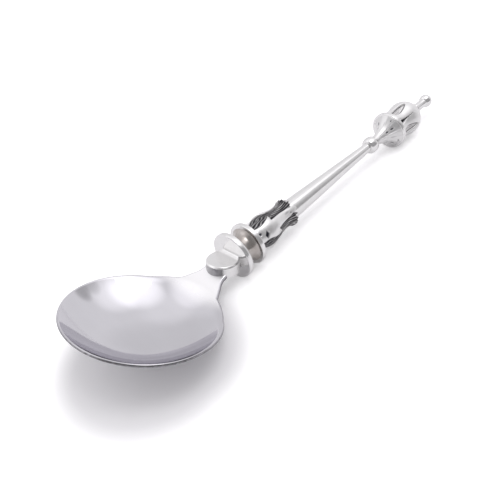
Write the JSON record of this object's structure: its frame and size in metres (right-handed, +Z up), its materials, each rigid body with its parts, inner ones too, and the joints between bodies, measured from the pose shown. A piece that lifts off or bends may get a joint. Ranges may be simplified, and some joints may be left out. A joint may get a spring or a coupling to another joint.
{
  "type": "serving spoon",
  "caption": "Serving spoon with a round steel bowl and an ornamental silver-coloured handle of collars, leaf calyx, tapered stem, trumpet and pierced bud with a ball finial.",
  "frame": {"origin": "on the table, under the centre of the spoon's box, with the spoon lying bowl up", "axes": "+X along the spoon toward the finial, +Y across it, +Z up from the table"},
  "size_m": [0.2404, 0.0686, 0.028],
  "materials": {
    "bowl_steel": "stainless steel, mirror polished",
    "handle_metal": "cast white metal, plated and polished",
    "dark_recess": "oxidised black, engraved, in the recesses",
    "inner_steel": "plain drawn steel, hidden inside"
  },
  "bodies": {
    "root": {"bowl": "bowl_steel", "bolster": "handle_metal", "bolster_pin": "inner_steel", "front_collar": "handle_metal", "spool": "handle_metal", "tang_pin": "inner_steel", "tie_rod": "inner_steel", "rear_collar": "handle_metal", "calyx_core": "dark_recess", "calyx_leaves": "handle_metal", "stem": "handle_metal", "bead_ring": "handle_metal", "trumpet": "handle_metal", "bud_collar": "handle_metal", "bud_core": "dark_recess", "bud_shell": "handle_metal", "finial": "handle_metal"}
  },
  "joints": []
}
